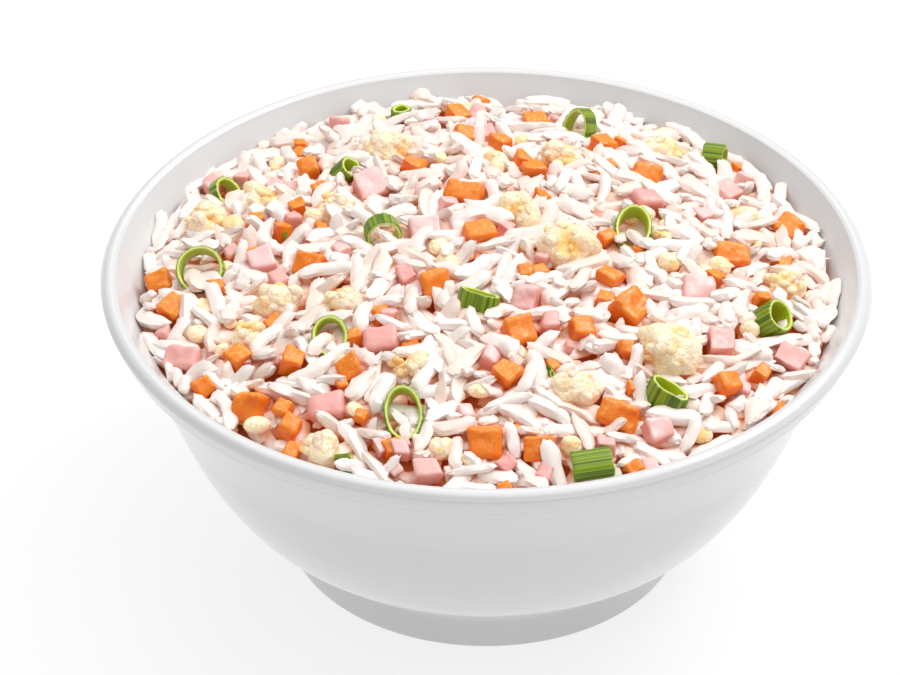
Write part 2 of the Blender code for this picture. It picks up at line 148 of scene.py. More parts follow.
# Small pieces that lie on the heap
SMALL_BIT = 4.3
BIT_RISE = 0.25
BIT_TIPS = (0.1, 0.5)
BIT_TURNS = (-0.2, 0.2)
BIT_UNEVENNESS = (0.66, 1.1)

# How often a lump of egg is evened before its curds are raised, and the crumbs that cling to it
EGG_ROUNDS = 14
EGG_CRUMBS = 9
CRUMB_SIZES = (2.4, 4.4)
CRUMB_DEPTH = 0.9
CRUMB_STRETCHES = ((0.9, 1.4), (0.7, 1.0), (0.6, 0.9))
CRUMB_BULGE = 0.5
LUMP_LEVEL = 5
BIT_LEVEL = 4
CRUMB_LEVEL = 3

# Curds of egg: domes as (width, height), and how the lump sways below them
CURDS = ((4.6, 1.5), (2.3, 0.5), (1.3, 0.25))
CURD_REACH = 0.95
EGG_SWAY = 2.2
EGG_SWAY_WIDTH = 6.0
EGG_SINK = 1.7

# Slices of spring onion. A section is (share of the wall from inside, height from -1 to 1).
ONION_STEPS = 16
ONION_SECTION = (
    [(1.0, height) for height in (-0.9, -0.6, -0.3, 0.0, 0.3, 0.6, 0.9)]
    + [(0.9, 1.0), (0.5, 1.04), (0.12, 1.0)]
    + [(0.0, height) for height in (0.9, 0.45, 0.0, -0.45, -0.9)]
    + [(0.12, -1.0), (0.5, -1.04), (0.9, -1.0)]
)
RIB_HEIGHT = 0.3
RIBS_AROUND = 9
CUT_UNEVENNESS = 0.35
CUT_WAVE = 1.3
FOLD_SIDES = 10
FOLD_TIP = 1.2
FOLD_THICKNESS = 0.2
FOLD_WIDTH = 0.6
FOLD_HOLLOW = 0.4

# The height map that grains are dropped on
CELL = 0.5
MAP_REACH = 97.0

# Pieces too small for the CAD part to hold as nodes, placed as in the picture
Bit = namedtuple("Bit", "across back size turn raised", defaults=(0.0,))
CARROT_BITS = [
    Bit(-48, 43, 6.0, 10), Bit(-20, 36, 6.6, 70), Bit(-8, 73, 6.2, 40), Bit(-6, 56, 6.6, 15),
    Bit(3, 52, 6.4, 60), Bit(12, 35, 6.6, 20), Bit(31, 55, 6.2, 35), Bit(31, -15, 6.0, 55),
    Bit(24, -37, 6.2, 10), Bit(60, -50, 6.8, 30), Bit(-48, -46, 6.6, 80), Bit(-62, -42, 6.2, 45),
    Bit(-34, -51, 6.8, 20), Bit(-48, -68, 6.6, 65), Bit(-70, -50, 5.8, 35), Bit(5, -54, 6.6, 50),
    Bit(-60, 1, 4.6, 30), Bit(-33, -39, 4.4, 12), Bit(-19, -44, 4.6, 50), Bit(-54, -31, 5.0, 33),
    Bit(-47, -75, 5.0, 70), Bit(-23, -77, 5.0, 20), Bit(5, -89, 4.0, 15), Bit(36, -81, 4.6, 40),
    Bit(72, -56, 4.8, 25), Bit(69, -44, 5.0, 60), Bit(13, -15, 4.8, 35), Bit(77, 3, 4.8, 15),
    Bit(30, -24, 5.0, 75), Bit(31, 4, 4.8, 40), Bit(33, 41, 4.4, 10), Bit(-51, 55, 4.4, 50),
    Bit(-44, 30, 4.6, 25), Bit(37, 59, 4.4, 65),
]
HAM_BITS = [
    Bit(-14, -84, 6.4, 10), Bit(42, -69, 6.6, 25), Bit(-53, -12, 5.0, 40), Bit(-20, -17, 5.2, 20),
    Bit(1, -48, 5.4, 60), Bit(16, -35, 5.2, 15), Bit(5, 5, 4.6, 70), Bit(57, 20, 5.2, 30),
    Bit(0, 59, 4.8, 20), Bit(5, -82, 5.0, 45), Bit(40, -80, 4.6, 10), Bit(14, -84, 4.4, 65),
    Bit(-66, 3, 4.4, 25), Bit(-30, 60, 4.4, 50),
]
EGG_BITS = [
    Bit(3, 38, 6.0, 30), Bit(68, 25, 6.4, 60), Bit(47, -6, 6.4, 10), Bit(-10, -11, 5.4, 80),
    Bit(-72, -19, 5.6, 20), Bit(-67, 17, 5.6, 50), Bit(-10, -77, 5.0, 15), Bit(53, -68, 6.2, 40),
    Bit(47, 12, 4.4, 75), Bit(67, -28, 4.4, 35), Bit(-5, -80, 3.8, 10), Bit(-57, 50, 4.6, 55),
]

ONION_BITS = [Bit(-34, -80, 4.6, 70), Bit(16, -52, 3.2, 20), Bit(-52, 8, 3.0, 140)]

# Scraps strewn between the grains at random, as (how many, least size, largest size)
CARROT_SCRAPS = (30, 3.0, 4.8)
HAM_SCRAPS = (34, 3.2, 5.2)
EGG_SCRAPS = (34, 3.4, 5.6)
SCRAP_RISES = (-0.4, 1.2)
SCRAP_MARGIN = 4.0
SCRAP_CLEARANCE = 6.5

# Colours, as linear red, green and blue
PORCELAIN = (0.69, 0.692, 0.698)
RICE_PALE = (0.87, 0.795, 0.745)
RICE_WARM = (0.88, 0.71, 0.62)
# Orange for grains that lie deep: partly the oil's own colour, partly painted warm shade in the gaps
# between grains
RICE_DEEP_OIL_AND_SHADE = (0.95, 0.45, 0.23)
# Painted glow: emission on the grains that lightens and warms their shade, faint near the top and stronger
# deep down
RICE_PAINTED_GLOW = (0.03, 0.013, 0.009)
RICE_DEEP_PAINTED_GLOW = (0.09, 0.028, 0.008)
CORE_COLOUR = (0.95, 0.38, 0.14)
# Carrot: darker sides as painted shade, lighter tops as painted light, bright specks on the tops as painted
# glints
CARROT_SHADED_SIDE = (0.86, 0.14, 0.001)
CARROT_LIGHT = (0.88, 0.25, 0.003)
CARROT_PAINTED_GLINT = (0.95, 0.50, 0.14)
# Ham: deeper pink sides as painted shade, paler tops as painted light
HAM_SHADED_SIDE = (0.84, 0.29, 0.22)
HAM_LIGHT = (0.84, 0.40, 0.36)
HAM_LIT_TOP = (0.87, 0.57, 0.54)
EGG_CREAM = (0.98, 0.86, 0.62)
# Gold for the egg's random flecks and for painted shade in the creases between its curds
EGG_GOLD_FLECK_AND_SHADE = (0.98, 0.62, 0.22)
# Painted glow: a faint warm emission on the egg
EGG_PAINTED_GLOW = (0.10, 0.035, 0.01)
# Painted shade: the onion's skin darker in the grooves between its ribs
ONION_GROOVE_SHADE = (0.08, 0.16, 0.003)
ONION_GREEN = (0.25, 0.36, 0.005)
ONION_BRIGHT = (0.42, 0.54, 0.012)
ONION_PALE = (0.66, 0.74, 0.20)
FLOOR_WHITE = (0.24, 0.24, 0.24)
WHITE = (1.0, 1.0, 1.0)
BLACK = (0.0, 0.0, 0.0)
FLOOR_GLOW = 0.76
COAT_ROUGHNESS = 0.12

# The studio: lamps as (place in metres, size in metres, watts)
FLOOR_REACH_METRES = 4.0
SURROUND = 0.42
OVERHEAD_LAMP = ((0.3, 0.5, 2.5), 4.0, 77)
KEY_LAMP = ((0.95, 0.5, 1.5), 0.7, 11)
LAMP_AIM_METRES = (0, 0, 0.08)

# The camera that took the picture, found from the bowl's outline
CAMERA_PLACE_METRES = (0.0, -0.788011, 0.615662)
CAMERA_AIM_METRES = (-0.009476, 0.0, 0.06075)
CAMERA_LENS = 146.2
CAMERA_SENSOR = 36.0


def swell(across, back):
    """The heap's own unevenness at a spot, wider than a grain."""
    spot = Vector((across, back, HEAP_SWELL_SEED)) / HEAP_SWELL_WIDTH
    return HEAP_SWELL * noise.noise(spot)


def heap_height(across, back):
    """The height of the heap's smooth surface."""
    outward = math.hypot(across, back) / HEAP_RADIUS
    return EDGE_HEIGHT + HEAP_RISE * (1 - outward ** 2) + swell(across, back) * (1 - outward ** 4)


def heap_tilt(across, back):
    """The turn that lays an upright piece on the heap's slope."""
    slope = 2 * HEAP_RISE / HEAP_RADIUS ** 2
    return Vector((0, 0, 1)).rotation_difference(Vector((slope * across, slope * back, 1))).to_matrix()


# Reading the CAD part

def node_shape(name):
    """A CAD node's welded points, in millimetres, and its triangles."""
    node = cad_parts[name]
    shape = bmesh.new()
    shape.from_mesh(node.data)
    shape.transform(node.matrix_world)
    bmesh.ops.remove_doubles(shape, verts=shape.verts, dist=WELD_METRES)
    bmesh.ops.triangulate(shape, faces=shape.faces)
    return freed(shape, METRES)


def freed(shape, unit=1.0):
    """A bmesh's points, in that unit, and its faces. The bmesh itself is freed."""
    shape.verts.index_update()
    points = np.array([vert.co / unit for vert in shape.verts])
    faces = [tuple(vert.index for vert in face.verts) for face in shape.faces]
    shape.free()
    return points, faces


def node_names(kind):
    """The CAD nodes of one kind of topping, in order."""
    return sorted(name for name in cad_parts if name.startswith(kind + "_"))


def bowl_profile():
    """The bowl's outline in the plane y = 0, from the underside's middle round to the inner floor."""
    points, faces = node_shape("bowl")
    on_plane = [index for index, (x, y, z) in enumerate(points) if abs(y) < NEAR and x > -NEAR]
    keep = set(on_plane)
    beside = {index: set() for index in on_plane}
    for face in faces:
        for start, end in zip(face, face[1:] + face[:1]):
            if start in keep and end in keep:
                beside[start].add(end)
                beside[end].add(start)
    here = next(index for index in on_plane if points[index][0] < NEAR)
    path = [here]
    while True:
        onward = [index for index in beside[here] if index not in path]
        if not onward:
            break
        here = onward[0]
        path.append(here)
    underside = points[path[-1]][2]
    return [(0.0, underside)] + [(points[index][0], points[index][2]) for index in reversed(path)]


# Shapes

def rounded_outline(knots, steps):
    """The knots joined by smooth curves, but with their sharp corners kept."""
    knots = [np.array(knot) for knot in knots]
    along = [(after - before) / np.linalg.norm(after - before) for before, after in zip(knots, knots[1:])]
    sharp = {0, len(knots) - 1}
    for index in range(1, len(knots) - 1):
        turning = math.degrees(math.acos(np.clip(along[index - 1] @ along[index], -1, 1)))
        if turning > CORNER_DEGREES:
            sharp.add(index)
    line = []
    for index in range(len(knots) - 1):
        start = knots[index]
        end = knots[index + 1]
        before = 2 * start - end if index in sharp else knots[index - 1]
        after = 2 * end - start if index + 1 in sharp else knots[index + 2]
        for step in range(steps):
            line.append(curve_point(before, start, end, after, step / steps))
    line.append(knots[-1])
    lowest = min(knot[1] for knot in knots)
    return [(radius, max(height, lowest)) for radius, height in line]


def curve_point(before, start, end, after, t):
    """A point on the Catmull-Rom curve between start and end."""
    return 0.5 * (2 * start + (end - before) * t + (2 * before - 5 * start + 4 * end - after) * t ** 2
                  + (3 * start - before - 3 * end + after) * t ** 3)


def turned(profile, sides):
    """Points and faces of a solid turned about Z. The profile starts and ends on the axis."""
    points = [(0.0, 0.0, profile[0][1])]
    for radius, height in profile[1:-1]:
        for side in range(sides):
            angle = 2 * math.pi * side / sides
            points.append((radius * math.cos(angle), radius * math.sin(angle), height))
    points.append((0.0, 0.0, profile[-1][1]))
    faces = []
    rings = len(profile) - 2
    for side in range(sides):
        following = (side + 1) % sides
        faces.append((0, 1 + following, 1 + side))
        for ring in range(rings - 1):
            low = 1 + ring * sides
            high = low + sides
            faces.append((low + side, low + following, high + following, high + side))
        top = 1 + (rings - 1) * sides
        faces.append((top + side, top + following, len(points) - 1))
    return np.array(points), faces


def make_piece(name, shapes, look, marks=None):
    """One object from several shapes, each its points and faces. Marks hold one value a point."""
    points = np.vstack([shape[0] for shape in shapes])
    faces = []
    first = 0
    for shape_points, shape_faces in shapes:
        faces += [tuple(first + index for index in face) for face in shape_faces]
        first += len(shape_points)
    mesh = bpy.data.meshes.new(name)
    mesh.from_pydata((points * METRES).tolist(), [], faces)
    for mark, values in (marks or {}).items():
        mesh.attributes.new(mark, "FLOAT", "POINT").data.foreach_set("value", values)
    mesh.materials.append(look)
    mesh.shade_smooth()
    piece = bpy.data.objects.new(name, mesh)
    bpy.context.scene.collection.objects.link(piece)
    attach(piece, "root")
    return piece


def cube_skin(cuts):
    """Points on the skin of a cube from -1 to 1, and its faces, with so many squares along an edge."""
    shape = bmesh.new()
    bmesh.ops.create_cube(shape, size=2.0)
    bmesh.ops.subdivide_edges(shape, edges=shape.edges, cuts=cuts - 1, use_grid_fill=True)
    return freed(shape)


def ball_skin(level):
    """Points on a ball of radius 1, and its triangles."""
    shape = bmesh.new()
    bmesh.ops.create_icosphere(shape, subdivisions=level, radius=1.0)
    return freed(shape)


def sized_normals(points, faces):
    """Each triangle's size, which is twice its area, and its normal of length 1."""
    crosses = [np.cross(points[b] - points[a], points[c] - points[a]) for a, b, c in faces]
    return [(np.linalg.norm(cross), cross / np.linalg.norm(cross)) for cross in crosses]


def outward_directions(points, faces):
    """The smooth normal at each point."""
    mesh = bpy.data.meshes.new("measure")
    mesh.from_pydata(points.tolist(), [], faces)
    normals = np.array([normal.vector for normal in mesh.vertex_normals])
    bpy.data.meshes.remove(mesh)
    return normals


def roughened(points, faces, layers, offset):
    """Moves the points along their normals by layers of noise, each (wave length, height)."""
    normals = outward_directions(points, faces)
    moved = []
    for point, normal in zip(points, normals):
        spot = Vector(point) + offset
        push = sum(height * noise.noise(spot / width) for width, height in layers)
        moved.append(point + normal * push)
    return np.array(moved)


# Dice of carrot and ham

def die_corners(points, faces):
    """The eight corners of a die, ordered by the signs of its own three axes."""
    sides = sorted(sized_normals(points, faces), key=lambda side: -side[0])
    first = sides[0][1]
    second = next(normal for size, normal in sides if abs(normal @ first) < CROSSWISE)
    third = np.cross(first, second)
    centre = points.mean(axis=0)
    corners = {}
    for point in points:
        signs = tuple(int(np.sign((point - centre) @ axis)) for axis in (first, second, third))
        corners[signs] = point
    return corners


def die_skin(corners, cuts, rounding):
    """A die with rounded edges, from its eight corners."""
    points, faces = cube_skin(cuts)
    inner = np.clip(points, rounding - 1, 1 - rounding)
    beyond = points - inner
    points = inner + rounding * beyond / np.linalg.norm(beyond, axis=1)[:, None]
    placed = np.zeros_like(points)
    for signs, corner in corners.items():
        weight = np.prod([(1 + sign * points[:, axis]) / 2 for axis, sign in enumerate(signs)], axis=0)
        placed += weight[:, None] * corner
    return placed, faces


def bit_centre(bit):
    """The middle of a small piece that lies on the heap."""
    rise = BIT_RISE * bit.size + bit.raised
    return Vector((bit.across, bit.back, heap_height(bit.across, bit.back) + rise))


def bit_corners(rng, bit):
    """The eight corners of a small die that lies on the heap."""
    centre = bit_centre(bit)
    turns = Euler((rng.uniform(*BIT_TIPS), rng.uniform(*BIT_TURNS), math.radians(bit.turn)), "XYZ")
    lay = heap_tilt(bit.across, bit.back) @ turns.to_matrix()
    corners = {}
    for x in (-1, 1):
        for y in (-1, 1):
            for z in (-1, 1):
                uneven = [side * bit.size / 2 * rng.uniform(*BIT_UNEVENNESS) for side in (x, y, z)]
                corners[(x, y, z)] = np.array(centre + lay @ Vector(uneven))
    return corners


def strewn(kind, scraps):
    """Places of small scraps between the grains, clear of the larger toppings."""
    rng = random.Random(f"scraps{kind}{SEED}")
    count, least, most = scraps
    centres = [node_shape(name)[0].mean(axis=0)[:2] for topping in ("onion", "egg", "carrot", "ham")
               for name in node_names(topping)]
    places = []
    while len(places) < count:
        reach = (HEAP_RADIUS - SCRAP_MARGIN) * math.sqrt(rng.random())
        around = rng.uniform(0, 2 * math.pi)
        spot = np.array((reach * math.cos(around), reach * math.sin(around)))
        if min(np.linalg.norm(spot - centre) for centre in centres) > SCRAP_CLEARANCE:
            size = rng.uniform(least, most)
            places.append(Bit(*spot, size, rng.uniform(0, 180), rng.uniform(*SCRAP_RISES)))
    return places


def turned_right(points, faces, probe=0):
    """The faces, turned round if the probed one, which is on the outside, faces inwards."""
    centre = points.mean(axis=0)
    a, b, c = (points[index] for index in faces[probe][:3])
    if np.cross(b - a, c - a) @ (a - centre) < 0:
        return [tuple(reversed(face)) for face in faces]
    return faces


def dice_shapes(kind, bits, layers):
    """The dice of one kind: those of the CAD part and the small ones."""
    rng = random.Random(f"{kind}{SEED}")
    dice = [(die_corners(*node_shape(name)), DIE_CUTS) for name in node_names(kind)]
    dice += [(bit_corners(rng, bit), BIT_CUTS if bit.size > SMALL_BIT else SCRAP_CUTS) for bit in bits]
    shapes = []
    for number, (corners, cuts) in enumerate(dice):
        points, faces = die_skin(corners, cuts, rng.uniform(*DIE_ROUNDINGS))
        faces = turned_right(points, faces)
        offset = Vector((number * NOISE_STRIDE, 0, 0))
        shapes.append((roughened(points, faces, layers, offset), faces))
    return shapes


# Egg

def curd_height(spot):
    """How far a curd of egg bulges at a spot: rounded lumps with creases between them."""
    bulge = EGG_SWAY * noise.noise(spot / EGG_SWAY_WIDTH) - EGG_SINK
    for width, height in CURDS:
        nearest = noise.voronoi(spot / width)[0][0]
        bulge += height * math.sqrt(max(1 - (nearest / CURD_REACH) ** 2, 0.0))
    return bulge


def lump_skin(name):
    """The middle, skin points and triangles of a CAD lump of egg, with its facets evened out."""
    node_points, node_faces = node_shape(name)
    tree = BVHTree.FromPolygons([Vector(point) for point in node_points], node_faces)
    centre = Vector(node_points.mean(axis=0))
    directions, faces = ball_skin(LUMP_LEVEL)
    reach = np.array([(tree.ray_cast(centre, Vector(direction))[0] - centre).length
                      for direction in directions])
    reach = evened(reach, faces, EGG_ROUNDS)
    surface = [centre + Vector(direction) * far for direction, far in zip(directions, reach)]
    return centre, surface, faces


def egg_shapes(bits):
    """The lumps of egg: those of the CAD part and the small ones. Also gives how raised each point is."""
    rng = random.Random(f"egg{SEED}")
    shapes = []
    raised = []
    for name in node_names("egg"):
        centre, surface, faces = lump_skin(name)
        shapes.append(bulged(surface, centre, faces, 1.0, raised))
        for spot in rng.sample([spot for spot in surface if spot.z > centre.z], EGG_CRUMBS):
            place = centre.lerp(spot, CRUMB_DEPTH)
            shapes.append(crumb_shape(rng, place, rng.uniform(*CRUMB_SIZES), CRUMB_LEVEL, raised))
    for bit in bits:
        level = BIT_LEVEL if bit.size > SMALL_BIT else CRUMB_LEVEL
        shapes.append(crumb_shape(rng, bit_centre(bit), bit.size, level, raised))
    return shapes, raised


def crumb_shape(rng, centre, size, level, raised):
    """A small crumb of egg, longer than wide and turned at random."""
    directions, faces = ball_skin(level)
    stretch = Vector([rng.uniform(*limits) for limits in CRUMB_STRETCHES])
    turn = Matrix.Rotation(rng.uniform(0, math.pi), 3, "Z")
    surface = [centre + turn @ (Vector(direction) * stretch) * size / 2 for direction in directions]
    return bulged(surface, centre, faces, CRUMB_BULGE, raised)


def evened(values, faces, rounds):
    """Values at the points of a skin, each drawn to its neighbours' mean so many times."""
    corners = np.array(faces)
    starts = corners.ravel()
    ends = np.roll(corners, -1, axis=1).ravel()
    beside = np.bincount(starts, minlength=len(values))
    for step in range(rounds):
        values = np.bincount(starts, weights=values[ends], minlength=len(values)) / beside
    return values


def bulged(surface, centre, faces, strength, raised):
    """A lump with its curds raised."""
    points = []
    for spot in surface:
        bulge = curd_height(spot)
        raised.append(bulge)
        points.append(spot + (spot - centre).normalized() * bulge * strength)
    return np.array(points), faces


# Spring onion

def slice_axis(points, faces):
    """The upward direction along a slice: that of its cut ends, which have the most faces alike."""
    normals = np.array([normal for size, normal in sized_normals(points, faces)])
    alike = (normals @ normals.T > ALIKE).sum(axis=1)
    axis = normals[alike.argmax()]
    return -axis if axis[2] < 0 else axis


def slice_ends(points, faces):
    """A slice's middle, axis and half length, and the outer and inner outlines of its cut ends."""
    axis = slice_axis(points, faces)
    centre = points.mean(axis=0)
    aside = np.cross(axis, (0.0, 1.0, 0.0))
    aside /= np.linalg.norm(aside)
    upward = np.cross(axis, aside)
    half = ((points - centre) @ axis).max()
    end = points[(points - centre) @ axis > half - NEAR_END] - centre
    around = np.arctan2(end @ upward, end @ aside)
    end = end[np.argsort(around)]
    end -= np.outer(end @ axis, axis)
    outer = []
    inner = []
    for first, second in zip(end[::2], end[1::2]):
        near, far = sorted((first, second), key=np.linalg.norm)
        outer.append(far)
        inner.append(near)
    return centre, axis, half, outer, inner


def bit_ends(bit):
    """The same as slice_ends gives, for a small folded piece of spring onion."""
    turns = Euler((FOLD_TIP, 0, math.radians(bit.turn)), "XYZ").to_matrix()
    outer = []
    inner = []
    for side in range(FOLD_SIDES):
        angle = 2 * math.pi * side / FOLD_SIDES
        across = FOLD_THICKNESS * bit.size * math.cos(angle)
        rim = Vector((across, FOLD_WIDTH * bit.size * math.sin(angle), 0))
        outer.append(np.array(turns @ rim))
        inner.append(np.array(turns @ rim) * FOLD_HOLLOW)
    axis = np.array(turns @ Vector((0, 0, 1)))
    return np.array(bit_centre(bit)), axis, bit.size / 2, outer, inner


def around_loop(knots, steps):
    """A smooth closed loop through the knots."""
    loop = []
    count = len(knots)
    for index in range(count):
        for step in range(steps):
            loop.append(curve_point(knots[index - 1], knots[index], knots[(index + 1) % count],
                                    knots[(index + 2) % count], step / steps))
    return np.array(loop)


def slice_points(ends, number, ribs):
    """The points of a slice, section by section, with ribs along its outside and uneven cuts."""
    centre, axis, half, outer_knots, inner_knots = ends
    outer = around_loop(outer_knots, ONION_STEPS)
    inner = around_loop(inner_knots, ONION_STEPS)
    points = []
    for side in range(len(outer)):
        angle = 2 * math.pi * side / len(outer)
        ridge = noise.noise(Vector((math.cos(angle), math.sin(angle), number * 7.7)) * RIBS_AROUND)
        cut = noise.noise(Vector((math.cos(angle), math.sin(angle), number * 3.1)) * CUT_WAVE)
        out = outer[side] / np.linalg.norm(outer[side])
        for share, height in ONION_SECTION:
            spot = inner[side] * (1 - share) + outer[side] * share + out * RIB_HEIGHT * ridge * share
            along = height * half + CUT_UNEVENNESS * cut * math.copysign(1, height)
            points.append(centre + spot + axis * along)
            ribs.append(ridge)
    return np.array(points)


def slice_faces(sides):
    """The faces that join a slice's sections all round."""
    size = len(ONION_SECTION)
    faces = []
    for side in range(sides):
        following = (side + 1) % sides
        for corner in range(size):
            beyond = (corner + 1) % size
            faces.append((side * size + corner, following * size + corner,
                          following * size + beyond, side * size + beyond))
    return faces


def onion_shapes():
    """The slices of spring onion, and for each point how near the skin and how high on a rib it is."""
    slices = [slice_ends(*node_shape(name)) for name in node_names("onion")]
    slices += [bit_ends(bit) for bit in ONION_BITS]
    shapes = []
    skin = []
    ribs = []
    for number, ends in enumerate(slices):
        points = slice_points(ends, number, ribs)
        sides = len(points) // len(ONION_SECTION)
        skin += [share for share, height in ONION_SECTION] * sides
        shapes.append((points, turned_right(points, slice_faces(sides), probe=2)))
    return shapes, {"skin": skin, "rib": ribs}


# Rice

def squared(value):
    """A cosine or sine drawn outwards, which makes a round section a little square."""
    return math.copysign(abs(value) ** GRAIN_SQUARENESS, value)


def either_way(rng, limit):
    """A random number from minus the limit to the limit."""
    return rng.uniform(-limit, limit)


def grain_ring(station, fullness, lopsided, slants, groove, bend, offset):
    """The points round a grain at one station along it."""
    radius = 0.5 * math.sqrt(max(1 - abs(station) ** fullness, BLUNT_END)) * (1 + lopsided * station)
    slant = slants[0] if station < 0 else slants[1]
    ring = []
    for side in range(GRAIN_SIDES):
        angle = 2 * math.pi * side / GRAIN_SIDES
        dent = 1 - GRAIN_GROOVE * max(0.0, math.cos(angle - groove)) ** 3
        spot = Vector((station * 2.2, math.cos(angle), math.sin(angle)))
        ragged = 1 + GRAIN_RAGGEDNESS * noise.noise(spot * 1.1 + offset)
        across = radius * dent * ragged * squared(math.cos(angle))
        up = radius * dent * ragged * squared(math.sin(angle))
        forward = station / 2 + station ** 2 * slant * across * END_SLANT
        forward += station ** 5 * END_RAGGEDNESS * noise.noise(spot * 1.9 - offset)
        ring.append((forward, across + 2 * bend * (1 - station ** 2), up))
    return ring


def grain_faces():
    """The triangles of a grain's skin, whose last two points are its ends."""
    faces = []
    last = (len(GRAIN_STATIONS) - 1) * GRAIN_SIDES
    first_end = len(GRAIN_STATIONS) * GRAIN_SIDES
    for side in range(GRAIN_SIDES):
        following = (side + 1) % GRAIN_SIDES
        for ring in range(len(GRAIN_STATIONS) - 1):
            low = ring * GRAIN_SIDES
            high = low + GRAIN_SIDES
            faces.append((low + side, low + following, high + following))
            faces.append((low + side, high + following, high + side))
        faces.append((first_end, following, side))
        faces.append((first_end + 1, last + side, last + following))
    return np.array(faces)


def grain_template(rng):
    """A cooked grain of length, width and height 1 along X, with blunt and uneven ends."""
    bend = either_way(rng, GRAIN_BEND)
    fullness = rng.uniform(*GRAIN_FULLNESS)
    lopsided = either_way(rng, GRAIN_LOPSIDEDNESS)
    slants = (either_way(rng, GRAIN_SLANT), either_way(rng, GRAIN_SLANT))
    groove = rng.uniform(0, 2 * math.pi)
    offset = Vector((rng.uniform(0, 90), rng.uniform(0, 90), rng.uniform(0, 90)))
    points = []
    for station in GRAIN_STATIONS:
        points += grain_ring(station, fullness, lopsided, slants, groove, bend, offset)
    points.append((GRAIN_STATIONS[0] / 2 - END_CAP, 0, 0))
    points.append((GRAIN_STATIONS[-1] / 2 + END_CAP, 0, 0))
    return np.array(points), grain_faces()


def map_index(values):
    """The height map's index for places in millimetres."""
    return np.clip(((np.asarray(values) + MAP_REACH) / CELL).astype(int), 0, int(2 * MAP_REACH / CELL))


def map_places():
    """The places of the height map's rows and columns."""
    return np.arange(int(2 * MAP_REACH / CELL) + 1) * CELL - MAP_REACH


def inner_wall(profile):
    """The radii and heights of the bowl's inner wall, from its floor to the lip."""
    lip = max(range(len(profile)), key=lambda index: profile[index][1])
    return np.array(sorted((radius, height) for radius, height in profile[lip:])).T


def starting_maps(wall):
    """The height map with the core and the bowl's wall, and the height that the heap should reach."""
    places = map_places()
    radii, heights = wall
    smooth = np.array([[heap_height(across, back) for back in places] for across in places])
    outward = np.hypot(places[:, None], places[None, :])
    ground = np.maximum(smooth - CORE_DEPTH, np.interp(outward, radii, heights))
    near_wall = np.clip((outward - WALL_STARTS) / (WALL_ENDS - WALL_STARTS), 0, 1)
    goal = smooth + GRAIN_MIDDLE_ABOVE_HEAP - LOWER_AT_WALL * near_wall
    for row, across in enumerate(places):
        for column, back in enumerate(places):
            spot = Vector((across, back, GOAL_SEED))
            goal[row, column] += GOAL_UNEVENNESS * noise.noise(spot / GOAL_WAVE)
            rough = UNEVEN_AT_WALL * near_wall[row, column]
            goal[row, column] += rough * noise.noise(spot / WAVE_AT_WALL)
    return ground, goal


def stamp_shapes(ground, shapes):
    """Raises the height map to the tops of shapes. Returns where they are."""
    covered = np.zeros(ground.shape, bool)
    places = map_places()
    for points, faces in shapes:
        tree = BVHTree.FromPolygons([Vector(point) for point in points], faces)
        low = map_index(points.min(axis=0)[:2])
        high = map_index(points.max(axis=0)[:2])
        for row in range(low[0], high[0] + 1):
            for column in range(low[1], high[1] + 1):
                hit = tree.ray_cast(Vector((places[row], places[column], ABOVE_ALL)), Vector((0, 0, -1)))[0]
                if hit is not None:
                    ground[row, column] = max(ground[row, column], hit.z)
                    covered[row, column] = True
    return covered


def resting_line(along, heights):
    """The lowest straight line that lies on all heights: its height in the middle and its slope."""
    middle = len(along) // 2
    left = along[:middle, None]
    right = along[None, middle + 1:]
    left_heights = heights[:middle, None]
    right_heights = heights[None, middle + 1:]
    levels = (left_heights * right - right_heights * left) / (right - left)
    slopes = (right_heights - left_heights) / (right - left)
    highest = np.unravel_index(levels.argmax(), levels.shape)
    if heights[middle] > levels[highest]:
        return heights[middle], slopes[highest]
    return levels[highest], slopes[highest]


def lowest_spot(draws, ground, wanted):
    """Of a few places drawn at random, the one where the heap is lowest against its goal."""
    reach = DROP_REACH * np.sqrt(draws.random(LOW_SPOTS))
    around = draws.uniform(0, 2 * math.pi, LOW_SPOTS)
    across = reach * np.cos(around)
    back = reach * np.sin(around)
    rows = map_index(across)
    columns = map_index(back)
    lack = wanted[rows, columns] - ground[rows, columns]
    best = lack.argmax()
    return lack[best], across[best], back[best]


def resting_grain(ground, covered, across, back, turn, along, width):
    """How a grain would lie: its middle's support, its slope, its share on toppings and its reach."""
    forward = np.array((math.cos(turn), math.sin(turn)))
    aside = np.array((-forward[1], forward[0]))
    spots = np.array((across, back)) + along[:, None] * forward
    beside = spots[None] + REST_ASIDE[:, None, None] * width * aside
    under = map_index(beside)
    heights = ground[under[..., 0], under[..., 1]].max(axis=0)
    on_topping = covered[under[1, :, 0], under[1, :, 1]].mean()
    level, slope = resting_line(along, heights)
    return level, slope, on_topping, np.hypot(*spots.T).max()


def bed_grains(rng, ground, goal):
    """Grains strewn close together as the bed that the others lie on, and sunk into each other."""
    grains = []
    while len(grains) < BED_GRAINS:
        reach = (HEAP_RADIUS - BED_MARGIN) * math.sqrt(rng.random())
        around = rng.uniform(0, 2 * math.pi)
        across = reach * math.cos(around)
        back = reach * math.sin(around)
        turn = rng.uniform(0, math.pi)
        length = rng.uniform(*GRAIN_LENGTHS)
        half = np.array((math.cos(turn), math.sin(turn))) * length / 2
        ends = (np.array((across, back)) + half, np.array((across, back)) - half)
        if max(math.hypot(*end) for end in ends) > HEAP_RADIUS - BED_END_MARGIN:
            continue
        row, column = map_index((across, back))
        middle = goal[row, column] - GRAIN_MIDDLE_ABOVE_HEAP - BED_DEPTH
        middle += either_way(rng, BED_UNEVENNESS)
        width = rng.uniform(*GRAIN_WIDTHS)
        slope = either_way(rng, BED_SLOPE)
        height = width * rng.uniform(*GRAIN_FLATNESS)
        roll = either_way(rng, GRAIN_ROLL)
        grains.append(Grain(across, back, middle, turn, slope, length, width, height, roll))
        stamp_grain(ground, grains[-1])
    return grains


